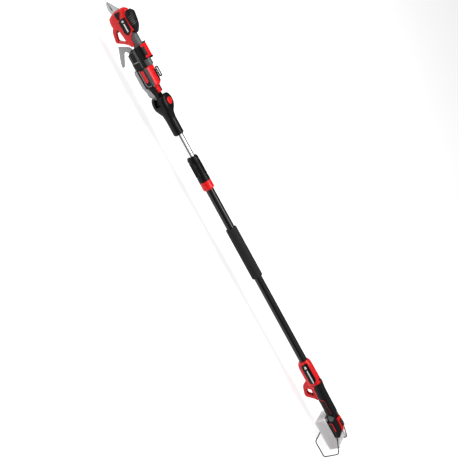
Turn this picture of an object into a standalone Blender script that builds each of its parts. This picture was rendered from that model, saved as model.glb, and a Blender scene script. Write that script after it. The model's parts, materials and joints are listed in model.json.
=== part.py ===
"""Cordless telescoping pole pruner: a bypass pruner carried on a tilting head at the end of a two-tube pole.

The design is drawn in the pole's own frame, in millimetres: X runs along the pole towards the blades, Y is
the tool's left and Z its top, with the pole's axis at Y = Z = 0. One parent empty lifts that frame so that
the finished model stands on Z = 0 with its origin at the bottom centre.
"""
import math

import bmesh
import bpy
from mathutils import Matrix, Vector

MM = 0.001
GAP = 0.3                 # clearance between touching pieces
SEAM = 0.15               # half of the joint line between two shell halves
TURN_STEPS = 24
OVAL_STEPS = 10
CUTTER_TWIST = 0.11       # keeps a round cutter's edges off its target's own edges, in radians

# Driving dimensions, in millimetres, in the pole's frame
BLADE_TIP_X = 877.5
BAIL_REAR_X = -948.9
BAIL_FLOOR_Z = -91.0
BAIL_W = 52.5
WIRE_R = 2.2
OUTER_TUBE_R = 15.0
INNER_TUBE_R = 12.5
TUBE_WALL = 1.2
OUTER_TUBE_X = (-640.0, 176.0)
INNER_TUBE_X = (-470.0, 405.0)
FOAM_X = (-203.6, 0.0)
FOAM_R = 20.3
COLLAR_X = (159.0, 191.7)
NUT_X = (192.1, 290.0)
NUT_R = 21.0
NECK_X = (376.0, 443.0)
NECK_R = 19.0
TILT_X = 497.0            # upright axis that the head tilts on
TILT_W = 33.0             # half width of the fork round that axis
FORK_REACH = 29.0         # from that axis to the fork's open end
TILT_SLOT = 10.0          # half height of the fork's slot
TILT_PIN_R = 5.0
TILT_BUTTON_R = 13.4
BLADE_PIVOT = (822.0, 14.0)
PINION_R = 6.0
SECTOR_R = 24.0
GRIP_Z = 27.0             # axis of the pruner's own handle, above the pole's
GRIP_R = 17.0
HEAD_TRIGGER_PIVOT = (776.0, -2.0)
REAR_TRIGGER_PIVOT = (-731.0, -24.0)
LATCH_AXIS = (-11.5, 47.5)
LATCH_PIN_R = 0.9
LOCK_OFF_R = 5.6
BATTERY_X = (-934.0, -806.0)
BATTERY_W = 40.0
BATTERY_Z = (-64.0, -26.0)
BATTERY_CHEEK_Z = -16.0   # top of the walls on both sides of the rail
BATTERY_WALL = 3.0
CELL_COUNT = 5
CELL_R = 10.6
SHELL_WALL = 2.4
PANEL_Z = 22.0            # top of the panel on the base's cap
WIRE_FLAT = 0.9612        # share of the wire's radius at the flats of its section
AXIS_HEIGHT = WIRE_FLAT * WIRE_R - BAIL_FLOOR_Z
CENTRE_X = (BLADE_TIP_X + BAIL_REAR_X - WIRE_R) / 2

COLOURS = {
    "red": ((0.72, 0.022, 0.018), 0.38, 0.0),
    "black": ((0.018, 0.018, 0.02), 0.45, 0.0),
    "rubber": ((0.028, 0.028, 0.03), 0.72, 0.0),
    "tube_black": ((0.012, 0.012, 0.014), 0.22, 0.0),
    "tube_silver": ((0.62, 0.63, 0.65), 0.25, 1.0),
    "foam": ((0.03, 0.03, 0.032), 0.9, 0.0),
    "grey": ((0.42, 0.43, 0.44), 0.5, 0.0),
    "dark_grey": ((0.1, 0.1, 0.11), 0.5, 0.0),
    "steel": ((0.55, 0.56, 0.58), 0.3, 1.0),
    "wire": ((0.2, 0.2, 0.21), 0.4, 1.0),
    "pale": ((0.72, 0.73, 0.75), 0.45, 0.0),
    "board": ((0.03, 0.2, 0.08), 0.5, 0.0),
    "cell": ((0.3, 0.45, 0.6), 0.4, 0.0),
}


# ---------------------------------------------------------------- scene and materials

def clear_scene():
    for obj in list(bpy.data.objects):
        bpy.data.objects.remove(obj, do_unlink=True)


def new_collection(name):
    group = bpy.data.collections.new(name)
    bpy.context.scene.collection.children.link(group)
    return group


def new_material(node, colour):
    base, roughness, metallic = COLOURS[colour]
    mat = bpy.data.materials.new(node)
    mat.use_nodes = True
    shader = mat.node_tree.nodes["Principled BSDF"]
    shader.inputs["Base Color"].default_value = (*base, 1.0)
    shader.inputs["Roughness"].default_value = roughness
    shader.inputs["Metallic"].default_value = metallic
    mat.diffuse_color = (*base, 1.0)
    return mat


clear_scene()
PART = new_collection("telescoping_pole_pruner")
CUTTERS = new_collection("cutters")
TOOL = bpy.data.objects.new("tool_frame", None)
TOOL.location = (-CENTRE_X * MM, 0.0, AXIS_HEIGHT * MM)
PART.objects.link(TOOL)


def add_object(name, data, colour, origin=(0, 0, 0)):
    """Put mesh or curve data in the tool's frame with its origin at a point given in millimetres."""
    obj = bpy.data.objects.new(name, data)
    obj.parent = TOOL
    obj.location = Vector(origin) * MM
    if colour is None:
        CUTTERS.objects.link(obj)
        obj.hide_render = True
        obj.display_type = "WIRE"
    else:
        PART.objects.link(obj)
        data.materials.append(new_material(name, colour))
    return obj


def from_bmesh(name, bm, colour, origin=(0, 0, 0)):
    """Turn a bmesh drawn in millimetres into an object whose faces point out."""
    shift = Vector(origin)
    for vert in bm.verts:
        vert.co = (vert.co - shift) * MM
    bmesh.ops.recalc_face_normals(bm, faces=bm.faces)
    if bm.calc_volume(signed=True) < 0:
        bmesh.ops.reverse_faces(bm, faces=bm.faces)
    mesh = bpy.data.meshes.new(name)
    bm.to_mesh(mesh)
    bm.free()
    mesh.shade_smooth()
    mesh.set_sharp_from_angle(angle=math.radians(35))
    return add_object(name, mesh, colour, origin)


# ---------------------------------------------------------------- modelling helpers

def bevel(obj, width, segments=2, angle=40):
    mod = obj.modifiers.new("edges", "BEVEL")
    mod.width = width * MM
    mod.segments = segments
    mod.limit_method = "ANGLE"
    mod.angle_limit = math.radians(angle)
    return obj


def combine(obj, other, operation="DIFFERENCE"):
    mod = obj.modifiers.new(operation.lower(), "BOOLEAN")
    mod.operation = operation
    mod.solver = "EXACT"
    mod.object = other
    return obj


def box(name, low, high, colour=None, edge=0.0, segments=2, origin=(0, 0, 0)):
    bm = bmesh.new()
    bmesh.ops.create_cube(bm, size=1.0)
    low, high = Vector(low), Vector(high)
    centre, size = (low + high) / 2, high - low
    for vert in bm.verts:
        vert.co = Vector([centre[i] + vert.co[i] * size[i] for i in range(3)])
    obj = from_bmesh(name, bm, colour, origin)
    if edge:
        bevel(obj, edge, segments)
    return obj


def rod(name, centre, radius, length, axis, colour=None, steps=TURN_STEPS, edge=0.0, origin=(0, 0, 0)):
    """A round bar through centre, along the axis letter X, Y or Z."""
    bm = bmesh.new()
    bmesh.ops.create_cone(bm, cap_ends=True, segments=steps, radius1=radius, radius2=radius, depth=length)
    if colour is None:
        bmesh.ops.rotate(bm, verts=bm.verts, matrix=Matrix.Rotation(CUTTER_TWIST, 3, "Z"))
    for vert in bm.verts:
        a, b, c = vert.co
        turned = {"X": (c, a, b), "Y": (a, c, -b), "Z": (a, b, c)}[axis]
        vert.co = Vector(turned) + Vector(centre)
    obj = from_bmesh(name, bm, colour, origin)
    if edge:
        bevel(obj, edge)
    return obj


def turned(name, profile, colour=None, closed=True, steps=TURN_STEPS, origin=(0, 0, 0), axis="X"):
    """Spin a profile of (along, radius) points, front to rear on its outer side, about X or Z."""
    mesh = bpy.data.meshes.new(name)
    verts = [(radius * MM, 0, along * MM) for along, radius in profile]
    edges = [(i, i + 1) for i in range(len(verts) - 1)]
    if closed:
        edges.append((len(verts) - 1, 0))
    mesh.from_pydata(verts, edges, [])
    obj = add_object(name, mesh, colour, origin)
    if axis == "X":
        obj.rotation_euler = (0, math.radians(90), 0)
    mod = obj.modifiers.new("turn", "SCREW")
    mod.steps = steps
    mod.render_steps = steps
    mod.merge_threshold = 0.00001
    mod.use_merge_vertices = True
    mod.use_smooth_shade = True
    return obj


def ring_profile(x_low, x_high, r_in, r_out, chamfer=0.0):
    c = chamfer
    if not c:
        return [(x_high, r_out), (x_low, r_out), (x_low, r_in), (x_high, r_in)]
    outer = [(x_high, r_out - c), (x_high - c, r_out), (x_low + c, r_out), (x_low, r_out - c)]
    return outer + [(x_low, r_in), (x_high, r_in)]


def plate(name, outline, centre, thickness, colour=None, holes=(), plane="XZ", edge=0.0, origin=(0, 0, 0)):
    """A flat outline extruded both ways from centre, along Y for plane XZ and along Z for plane XY."""
    curve = bpy.data.curves.new(name, "CURVE")
    curve.dimensions = "2D"
    curve.fill_mode = "BOTH"
    curve.extrude = thickness / 2
    for points in [outline, *holes]:
        spline = curve.splines.new("POLY")
        spline.points.add(len(points) - 1)
        for point, (a, b) in zip(spline.points, points):
            point.co = (a, b, 0, 1)
        spline.use_cyclic_u = True
    guide = bpy.data.objects.new(name + "_outline", curve)
    CUTTERS.objects.link(guide)
    bpy.context.view_layer.update()
    mesh = bpy.data.meshes.new_from_object(guide.evaluated_get(bpy.context.evaluated_depsgraph_get()))
    bpy.data.objects.remove(guide, do_unlink=True)
    bm = bmesh.new()
    bm.from_mesh(mesh)
    bpy.data.meshes.remove(mesh)
    bmesh.ops.remove_doubles(bm, verts=bm.verts, dist=0.001)
    for vert in bm.verts:
        a, b, c = vert.co
        vert.co = (a, centre - c, b) if plane == "XZ" else (a, b, centre + c)
    obj = from_bmesh(name, bm, colour, origin)
    if edge:
        bevel(obj, edge, 2, 50)
    return obj


def arc(centre, radius, start, end, steps=8):
    """Points of a flat arc, in degrees."""
    angles = [math.radians(start + (end - start) * i / steps) for i in range(steps + 1)]
    return [(centre[0] + radius * math.cos(a), centre[1] + radius * math.sin(a)) for a in angles]


def rounded(points, radius, steps=3, closed=True):
    """Round the corners of a path of 2-D or 3-D points with short arcs."""
    count = len(points)
    path = [Vector(p) for p in points]
    result = []
    for i in range(count):
        if not closed and i in (0, count - 1):
            result.append(tuple(path[i]))
            continue
        here = path[i]
        back = path[i - 1] - here
        ahead = path[(i + 1) % count] - here
        reach = min(radius, back.length * 0.45, ahead.length * 0.45)
        start = here + back.normalized() * reach
        end = here + ahead.normalized() * reach
        for k in range(steps + 1):
            t = k / steps
            result.append(tuple(start * (1 - t) ** 2 + here * (2 * t * (1 - t)) + end * t ** 2))
    return result


def wire(name, points, radius, colour, resolution=2):
    curve = bpy.data.curves.new(name, "CURVE")
    curve.dimensions = "3D"
    curve.bevel_depth = radius * MM
    curve.bevel_resolution = resolution
    curve.use_fill_caps = True
    spline = curve.splines.new("POLY")
    spline.points.add(len(points) - 1)
    for point, place in zip(spline.points, points):
        point.co = (*(Vector(place) * MM), 1)
    return add_object(name, curve, colour)


def oval(half_width, low, high, power, steps=OVAL_STEPS):
    """Half of a superellipse, from its bottom centre round the +Y side to its top centre."""
    middle = (low + high) / 2
    half = (high - low) / 2
    points = []
    for i in range(steps + 1):
        angle = math.pi * (i / steps - 0.5)
        y = half_width * abs(math.cos(angle)) ** (2 / power)
        z = middle + half * math.copysign(abs(math.sin(angle)) ** (2 / power), math.sin(angle))
        points.append((y, z))
    points[0] = (0.0, low)
    points[-1] = (0.0, high)
    return points


def inset(points, wall):
    """The half section moved inwards by the wall thickness."""
    result = []
    for i, (y, z) in enumerate(points):
        back = Vector(points[max(i - 1, 0)])
        ahead = Vector(points[min(i + 1, len(points) - 1)])
        along = (ahead - back).normalized()
        inward = Vector((-along.y, along.x))
        if i == 0:
            inward = Vector((0, 1))
        if i == len(points) - 1:
            inward = Vector((0, -1))
        result.append((max(y + inward.x * wall, 0.0), z + inward.y * wall))
    return result


def half_shell(name, sections, side, colour, wall=SHELL_WALL, front_open=False, rear_open=False):
    """A hollow half casing lofted through (x, half section) pairs; side is 1 for left and -1 for right."""
    bm = bmesh.new()
    ends = (0, len(sections) - 1)

    def ring(x, points):
        return [bm.verts.new((x, side * (y + SEAM), z)) for y, z in points]

    outer = [ring(x, points) for x, points in sections]
    inner = []
    for index, (x, points) in enumerate(sections):
        closed_end = (index == ends[0] and not rear_open) or (index == ends[1] and not front_open)
        step = wall if closed_end else 0.0
        step = step if index == ends[0] else -step
        inner.append(ring(x + step, inset(points, wall)))
    for rings in (outer, inner):
        for back, ahead in zip(rings, rings[1:]):
            for i in range(len(back) - 1):
                bm.faces.new((back[i], back[i + 1], ahead[i + 1], ahead[i]))
    for i in range(len(sections) - 1):
        for k in (0, -1):
            bm.faces.new((outer[i][k], outer[i + 1][k], inner[i + 1][k], inner[i][k]))
    for index, is_open in ((ends[0], rear_open), (ends[1], front_open)):
        if is_open:
            for i in range(len(outer[index]) - 1):
                strip = (outer[index][i], outer[index][i + 1], inner[index][i + 1], inner[index][i])
                bm.faces.new(strip)
        else:
            bm.faces.new(outer[index])
            bm.faces.new(inner[index])
            bm.faces.new((outer[index][0], outer[index][-1], inner[index][-1], inner[index][0]))
    return from_bmesh(name, bm, colour)


def loft(name, sections, colour, origin=(0, 0, 0)):
    """A solid through (x, closed section) pairs of (y, z) points."""
    bm = bmesh.new()
    rings = [[bm.verts.new((x, y, z)) for y, z in points] for x, points in sections]
    count = len(rings[0])
    for back, ahead in zip(rings, rings[1:]):
        for i in range(count):
            k = (i + 1) % count
            bm.faces.new((back[i], back[k], ahead[k], ahead[i]))
    bm.faces.new(rings[0])
    bm.faces.new(rings[-1])
    return from_bmesh(name, bm, colour, origin)


def whole(half):
    """Close a half section with its mirror image."""
    return half + [(-y, z) for y, z in half[-2:0:-1]]


def blend_stations(stations, x):
    """Half width, low, high and power at x, between the stations either side of it."""
    for back, ahead in zip(stations, stations[1:]):
        if back[0] <= x <= ahead[0]:
            t = (x - back[0]) / (ahead[0] - back[0])
            return [a + (b - a) * t for a, b in zip(back[1:], ahead[1:])]
    raise ValueError("x outside the stations")


def side_panel(name, stations, rows, side, colour, lift=2.1, steps=6):
    """A thin plate that follows a casing's side; rows are (x, lowest z, highest z)."""
    sections = []
    for x, low, high in rows:
        half_width, bottom, top, power = blend_stations(stations, x)
        middle = (bottom + top) / 2
        half = (top - bottom) / 2
        heights = [low + (high - low) * i / steps for i in range(steps + 1)]
        skin = [half_width * (1 - abs((z - middle) / half) ** power) ** (1 / power) for z in heights]
        inner = [(side * (y + SEAM + 3 * GAP), z) for y, z in zip(skin, heights)]
        outer = [(side * (y + SEAM + lift), z) for y, z in zip(skin, heights)]
        sections.append((x, inner + outer[::-1]))
    return loft(name, sections, colour)


# ---------------------------------------------------------------- pole

def make_pole():
    turned("outer_tube", ring_profile(*OUTER_TUBE_X, OUTER_TUBE_R - TUBE_WALL, OUTER_TUBE_R), "tube_black")
    turned("inner_tube", ring_profile(*INNER_TUBE_X, INNER_TUBE_R - TUBE_WALL, INNER_TUBE_R), "tube_silver")
    turned("foam_grip", ring_profile(*FOAM_X, OUTER_TUBE_R + GAP, FOAM_R, 1.5), "foam")
    bush_x = (INNER_TUBE_X[0] + 2, INNER_TUBE_X[0] + 32)
    bush_r = OUTER_TUBE_R - TUBE_WALL - GAP
    turned("tube_bush", ring_profile(*bush_x, INNER_TUBE_R + 0.15, bush_r), "pale")


def make_lock():
    low, high = COLLAR_X
    outer = [(high, NUT_R), (low + 6, NUT_R + 0.4), (low + 2, NUT_R - 1), (low, NUT_R - 3.5)]
    bore = OUTER_TUBE_R + GAP
    front = OUTER_TUBE_X[1] + 1
    inner = [(low, bore), (front - 0.5, bore), (front - 0.5, 17.2), (high, 17.2)]
    turned("lock_collar", outer + inner, "red")
    collet = [(front + 42, 14.4), (front + 14, 16.4), (front, 14.8), (front, 12.8), (front + 42, 12.8)]
    turned("lock_collet", collet, "pale")
    slit = box("collet_slit", (front + 8, -1.2, 11), (front + 50, 1.2, 18))
    combine(bpy.data.objects["lock_collet"], slit)
    low, high = NUT_X
    skirt = high - 62
    bore = INNER_TUBE_R + GAP
    outline = [(high, 15.5), (high - 3, 18.5), (high - 11, NUT_R), (low, NUT_R), (low, 17.2), (skirt, 17.2),
               (skirt + 3, bore), (high, bore)]
    turned("lock_nut", outline, "black")


# ---------------------------------------------------------------- tilt joint

def make_fork():
    stations = [(NECK_X[1] - 8, 19, -19, 19, 2.0), (457, 22, -20, 22.5, 2.1), (471, 28.5, -24, 29.5, 2.8),
                (484, 32.2, -27, 32, 3.8), (TILT_X, TILT_W, -27.5, 32.5, 4.2)]
    for angle, low, high in ((24, -27.4, 32.4), (45, -27, 32), (62, -26.4, 31.4), (76, -25.4, 30.4)):
        offset = FORK_REACH * math.sin(math.radians(angle))
        width = TILT_W * math.cos(math.radians(angle)) ** 0.8
        stations.append((TILT_X + offset, width, low, high, 4.0))
    sections = [(x, whole(oval(w, low, high, power))) for x, w, low, high, power in stations]
    fork = loft("tilt_fork", sections, "black", origin=(TILT_X, 0, 0))
    combine(fork, rod("button_well", (TILT_X - 1, 0, 36), TILT_BUTTON_R + 0.4, 28, "Z"))
    neck = [(NECK_X[1], NECK_R - 0.01), (NECK_X[0] + 4, NECK_R), (NECK_X[0], NECK_R - 3), (NECK_X[0], 0)]
    combine(fork, turned("neck_solid", [(NECK_X[1], 0), *neck], closed=False), "UNION")
    bore = INNER_TUBE_X[1] + 1 - NECK_X[0] + 10
    combine(fork, rod("neck_bore", (NECK_X[0] - 10 + bore / 2, 0, 0), INNER_TUBE_R + GAP, bore, "X"))
    combine(fork, rod("disc_pocket", (TILT_X, 0, 0), 23.3, 2 * TILT_SLOT, "Z", steps=40))
    combine(fork, box("fork_slot", (TILT_X - 4.5, -40, -TILT_SLOT), (TILT_X + 40, 40, TILT_SLOT)))
    combine(fork, rod("pin_bore", (TILT_X, 0, 0), TILT_PIN_R + GAP, 38, "Z"))


def make_tilt_lock():
    rod("tilt_pin", (TILT_X, 0, 1), TILT_PIN_R, 35, "Z", "steel", 24, origin=(TILT_X, 0, 0))
    crown = [(34.4, 0), (34.4, 9.5), (33.4, 12.2), (31.6, TILT_BUTTON_R), (26.6, TILT_BUTTON_R), (26.6, 0)]
    turned("tilt_button", crown, "red", closed=False, origin=(TILT_X - 1, 0, 0), axis="Z")
    turns, steps, points = 2.5, 25, []
    for i in range(steps + 1):
        angle = math.tau * turns * i / steps
        points.append((TILT_X - 1 + 9 * math.cos(angle), 9 * math.sin(angle), 22.9 + 2.9 * i / steps))
    wire("button_spring", points, 0.45, "steel", 1)


def make_carrier():
    rear = [*arc((TILT_X, 0), 22.5, 40, 320, 20)]
    outline = rear + [(TILT_X + 34, -14), (TILT_X + 40, -14), (TILT_X + 40, 14), (TILT_X + 34, 14)]
    height = 2 * (TILT_SLOT - 0.5)
    tongue = plate("tilt_tongue", outline, 0, height, "black", plane="XY", origin=(TILT_X, 0, 0))
    combine(tongue, box("tongue_block", (533, -14, -19.5), (561, 14, 8), edge=2), "UNION")
    combine(tongue, rod("tongue_bore", (TILT_X, 0, 0), TILT_PIN_R + 0.1, 60, "Z", steps=24))
    tray_line = [(533, -12.5), (547, -17.5), (572, -28), (626, -28), (633, -23), (633, 23), (626, 28),
                 (572, 28), (547, 17.5), (533, 12.5)]
    tray = plate("carrier_tray", tray_line, -17.5, 13, "grey", plane="XY", edge=1.2, origin=(TILT_X, 0, 0))
    well_line = [(525, -14.4), (563, -14.4), (573, -25), (650, -25), (650, 25), (573, 25), (563, 14.4),
                 (525, 14.4)]
    combine(tray, plate("tray_well", well_line, -10.2, 20, plane="XY"))
    cover = [(534, 7), (537, 8.5), (557, 10.5), (557, -10.5), (537, -8.5), (534, -7)]
    plate("cable_cover", cover, 14.0, 8.2, "red", plane="XY", edge=1.2, origin=(TILT_X, 0, 0))


def make_clamp():
    line = [(631.5, -16), (630, -14.5), (630, 25), (631.5, 26.5), (700.5, 26.5), (702, 25), (702, 8),
            (696, -3), (687, -16)]
    saddle = plate("clamp_saddle", line, 0, 44, "black", origin=(TILT_X, 0, 0))
    combine(saddle, box("hook_pocket", (668, -2.35, -22), (713, 2.35, 1.2)))
    combine(saddle, rod("saddle_bore", (666, 0, GRIP_Z), GRIP_R + GAP, 90, "X"))
    combine(saddle, box("saddle_tab", (604, -18, -19.9), (656, 18, -14.5)), "UNION")
    arch = [(22, 27), (22, 38), (17, 45.4), (-8, 45.4), (-19, 37), (-22, 32), (-22, 27)]
    cap = loft("clamp_cap", [(654, arch), (702, arch)], "black", origin=(TILT_X, 0, 0))
    lugs = {"rear_lug": ((649.5, -15, 36), (656.6, -8, 49.8)),
            "front_foot": ((700, -15, 36), (709, -8, 44.0)),
            "front_lug": ((704.4, -15, 40), (709.1, -8, 49.8))}
    for name, (low, high) in lugs.items():
        combine(cap, box(name, low, high), "UNION")
    combine(cap, rod("cap_bore", (666, 0, GRIP_Z), GRIP_R + GAP, 100, "X"))
    combine(cap, rod("latch_pin_bore", (679, *LATCH_AXIS), LATCH_PIN_R + 0.2, 80, "X", steps=16))


def make_latch():
    origin = (679, *LATCH_AXIS)
    frame = rounded([(657, -14), (704, -14), (704, 22), (657, 22)], 4)
    window = [(662, -4), (699, -4), (699, 19), (662, 19)]
    latch = plate("latch", frame, LATCH_AXIS[1], 3.6, "red", holes=[window], plane="XY", origin=origin)
    combine(latch, rod("latch_bore", origin, LATCH_PIN_R + 0.2, 60, "X", steps=16))
    box("latch_pad", (662.3, -3.7, 46.2), (698.7, 18.7, 49.0), "rubber", 0.5, origin=origin)
    rod("latch_pin", (679.3, *LATCH_AXIS), LATCH_PIN_R, 58, "X", "steel", 12, origin=origin)


def make_hook():
    line = [(729, -46), (719, -49.5), (706, -55), (692, -61.5), (676, -67.5), (664, -70.5), (658, -69.5),
            (659, -63), (664, -59.5), (676, -52), (690, -44), (699, -38), (702.6, -32.5), (702, -28),
            (697.5, -23.5), (691, -20), (672, -13), (672, -2), (699, -2), (706, -4), (712.5, -9.5),
            (720, -26), (726.5, -40)]
    plate("support_hook", line, 0, 4, "grey", edge=0.6, origin=(TILT_X, 0, 0))


# ---------------------------------------------------------------- pruner

# Each station is (x, half width, lowest z, highest z, superellipse power)
HEAD_STATIONS = [(709, 20, 6.5, 44, 3.0), (720, 20, 1, 44, 3.0), (733, 20, -1.6, 46, 3.0),
                 (746, 20.5, -2.4, 49, 3.4), (760, 22, -2.4, 52, 4.5), (774, 22.8, -3.6, 53, 4.8),
                 (783, 23, -16, 53.5, 4.8), (790, 23, -20.4, 54, 4.8), (800, 23, -21.5, 54.5, 4.8),
                 (812, 22.5, -21.5, 56, 4.0), (822, 20.5, -20, 57, 3.4), (829, 17, -10, 55, 2.8),
                 (834, 12.5, 2, 51, 2.4), (837.5, 6.5, 16, 44, 2.2)]


def guard_half(name, outer, inner, side, thickness):
    centre = side * (SEAM + thickness / 4)
    return plate(name, outer, centre, thickness / 2, holes=[inner])


def make_pruner_shells():
    sections = [(x, oval(w, low, high, power)) for x, w, low, high, power in HEAD_STATIONS]
    outer = rounded([(795, -12), (791, -25.5), (776, -35), (760, -38.5), (747, -42), (740.5, -40),
                     (725, -10), (714, 2), (711, 9), (719, 10), (729, 2), (785, 1)], 6, 3)
    hole = rounded([(778, -13), (772, -24), (751, -31), (744.5, -30.5), (732.5, -9), (735, -3.5),
                    (778, -3.5)], 4, 3)
    notch = [(700, 25.5), (733, 25.5), (741, 30), (749, 38.5), (757, 47), (757, 66), (700, 66)]
    for side, name in ((1, "pruner_shell_left"), (-1, "pruner_shell_right")):
        shell = half_shell(name, sections, side, "red")
        shell_name = name + "_guard"
        combine(shell, guard_half(shell_name, outer, hole, side, 13), "UNION")
        combine(shell, plate("grip_clearance", notch, 0, 80))
        combine(shell, rod("grip_bore", (722, 0, GRIP_Z), GRIP_R + GAP, 64, "X"))
        combine(shell, box("blade_slot", (795, -6.2, -14), (850, 6.2, 40)))
        combine(shell, box("trigger_slot", (763, -5.2, -24), (783, 5.2, 8)))


def make_motor_cover():
    stations = [(744, 8, 49.5), (750, 12.5, 54.5), (758.5, 16, 61), (768, 18.5, 66), (784, 20, 69.8),
                (803, 20.5, 73), (812, 19.5, 73.4), (817, 17, 69.5), (823, 13.5, 62.5)]
    sections = []
    for x, half_width, top in stations:
        w, low, high, power = blend_stations(HEAD_STATIONS, x)
        floor = []
        for i in range(9):
            y = half_width * (i / 8)
            z = (low + high) / 2 + (high - low) / 2 * (1 - (y / w) ** power) ** (1 / power)
            floor.append((y, max(z, high - 5.5) + 3 * GAP))
        edge = floor[-1][1]
        rise = max(top - edge, 1.0)
        crown = []
        for k in range(1, 7):
            a = math.radians(90 * k / 6)
            crown.append((half_width * math.cos(a) ** 0.7, edge + 1.0 + (rise - 1.0) * math.sin(a) ** 0.8))
        crown[-1] = (0.0, edge + rise)
        half = [*floor, (half_width, edge + 1.0), *crown]
        sections.append((x, half + [(-y, z) for y, z in half[-2:0:-1]]))
    loft("motor_cover", sections, "rubber")


def make_pruner_handle():
    sleeve = ring_profile(629.7, 752.0, GRIP_R - 2.2, GRIP_R, 1.0)
    turned("grip_sleeve", sleeve, "dark_grey", origin=(0, 0, GRIP_Z))
    rod("pruner_motor", (690, 0, GRIP_Z), 13.6, 56, "X", "steel", edge=1.0)
    rod("pruner_gearbox", (736, 0, GRIP_Z), 13.6, 34, "X", "dark_grey", edge=1.0)
    foot = [(28, 18.7), (28, 31), (22, 34.5), (10, 36.5), (-6, 36), (-14, 33), (-22, 28), (-26, 23),
            (-26, 18.7)]
    heel = [(26, 18.7), (26, 27), (20, 31), (10, 33), (0, 31), (-8, 27), (-14, 23), (-17, 20.5), (-17, 18.7)]
    ramp = [(a[0] * 0.25 + b[0] * 0.75, a[1] * 0.25 + b[1] * 0.75) for a, b in zip(heel, foot)]
    bevel(loft("pruner_foot", [(560, heel), (568, ramp), (580, foot), (629.3, foot)], "red"), 1.2, 2, 30)
    adapter = box("battery_adapter", (562, -28, -10.2), (629.5, 28, 18.3), "black", 2.5, 2)
    combine(adapter, box("adapter_port", (556, -8, -4), (576, 8, 8)))
    for side, name in ((1, "adapter_stripe_left"), (-1, "adapter_stripe_right")):
        line = rounded([(582, 1), (626, 1), (626, 13.5), (582, 13.5)], 6)
        plate(name, line, side * 28.95, 1.2, "red")
    loop = rounded([(579, 34.6), (617.5, 34.6), (617.5, 44.4), (579, 44.4)], 4)
    slot = rounded([(583, 37), (613.5, 37), (613.5, 42), (583, 42)], 2)
    plate("lanyard_loop", loop, -15, 5, "black", holes=[slot])


def make_blades():
    px, pz = BLADE_PIVOT
    line = [(BLADE_TIP_X, 0.5), (873.5, -5), (866, -9.2), (857.5, -11.6), (849, -12.1), (840, -11),
            (828, -7.5), (806, -7), (803, 4), (803, 26), (812, 27), (831, 20), (838, 9), (846, 2.6),
            (857, -1.6), (868, -2.2), (874, -0.6)]
    hole = arc((px, pz), 4.3, 0, 330, 11)
    plate("fixed_blade", line, -2.2, 3.6, "steel", holes=[hole])
    drive = arc((px, pz), SECTOR_R, 215, 145, 14)
    line = [(872.5, 3.8), (864, 1.6), (852, 0.6), (842, 1.8), (832, 2), (822, -1), *drive, (812, 29),
            (828, 31), (840, 29.5), (847, 23.2), (855, 16.2), (864, 10.6)]
    plate("cutting_blade", line, 2.0, 3.4, "steel", holes=[hole], origin=(px, 0, pz))
    rod("pivot_bolt", (px, 0, pz), 4.0, 10.5, "Y", "steel", 20)
    head = rod("bolt_head", (px, 5.2, pz), 6.5, 2.0, "Y", steps=6)
    combine(bpy.data.objects["pivot_bolt"], head, "UNION")
    pinion_x = px - SECTOR_R - PINION_R - GAP
    rod("drive_pinion", (pinion_x, 2.0, pz), PINION_R, 3.4, "Y", "steel", 24, origin=(pinion_x, 0, pz))
    rod("pinion_shaft", (pinion_x, 2.0, pz), 2.4, 9.6, "Y", steps=16)
    combine(bpy.data.objects["drive_pinion"], bpy.data.objects["pinion_shaft"], "UNION")
    rows = [(804.6, 22.2, 24.2), (810, 18.6, 26.2), (818, 16, 30), (826, 14, 34.5), (830.5, 13.2, 35.6)]
    side_panel("pivot_cover", HEAD_STATIONS, rows, 1, "black", lift=2.2)


def trigger(name, outline, pivot, thickness, colour="black"):
    origin = (pivot[0], 0, pivot[1])
    lever = plate(name, outline, 0, thickness, colour, edge=1.0, origin=origin)
    return combine(lever, rod(name + "_bore", (pivot[0], 0, pivot[1]), 1.6, 30, "Y", steps=12))


def make_pruner_trigger():
    x, z = HEAD_TRIGGER_PIVOT
    line = rounded([(x - 5, z + 6), (x + 5, z + 6), (x + 4, z - 8), (x - 1, z - 19), (x - 5, z - 18),
                    (x - 7, z - 8)], 2.5, 2)
    trigger("pruner_trigger", line, HEAD_TRIGGER_PIVOT, 9.6)
    box("pruner_switch", (754, -7, 3), (768, 7, 12), "dark_grey", 0.6)
    rows = [(748.7, 24.8, 26.6), (753, 21, 35.5), (757.5, 18.4, 41.5), (761, 17.8, 46.5), (798, 17.6, 46.5),
            (803.5, 22, 46.5), (806.8, 41, 46.3)]
    side_panel("pruner_badge", HEAD_STATIONS, rows, 1, "black")


# ---------------------------------------------------------------- rear handle

REAR_STATIONS = [(-667, 21.5, -27, 23, 2.6), (-645, 22, -28.8, 23, 2.6), (-590, 22, -28.5, 22.5, 2.6),
                 (-576, 21, -26, 21.5, 2.5), (-566, 17.5, -19.5, 17.5, 2.2)]
GRIP_STATIONS = [(-800, 19.5, -22, 21, 2.2), (-760, 19.4, -21.6, 21.2, 2.2), (-700, 19.6, -21.6, 22.4, 2.2),
                 (-684, 20.4, -22, 23.6, 2.4), (-667.3, 22, -22.4, 25.2, 2.6)]
SMALL_BASE = [(0, -21.5), (14.5, -17), (19, -6), (19.3, 2), (15.5, 13), (8, 19), (0, 20.8)]


def base_section(half_width, floor, top):
    return [(0, floor), (half_width - 1.5, floor), (half_width, floor + 12), (half_width * 0.82, top * 0.3),
            (half_width * 0.46, top * 0.84), (half_width * 0.22, top * 0.97), (0, top)]


BASE_SECTIONS = [(-893, base_section(33, -15, -2)), (-880, base_section(36, -15, 5.5)),
                 (-862, base_section(37, -15, 12)), (-824, base_section(37, -15, 13)),
                 (-800.3, SMALL_BASE)]
PANEL_W = 6.2             # half width of the power panel
CAP_W = 12.5              # half width of the base's cap


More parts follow.
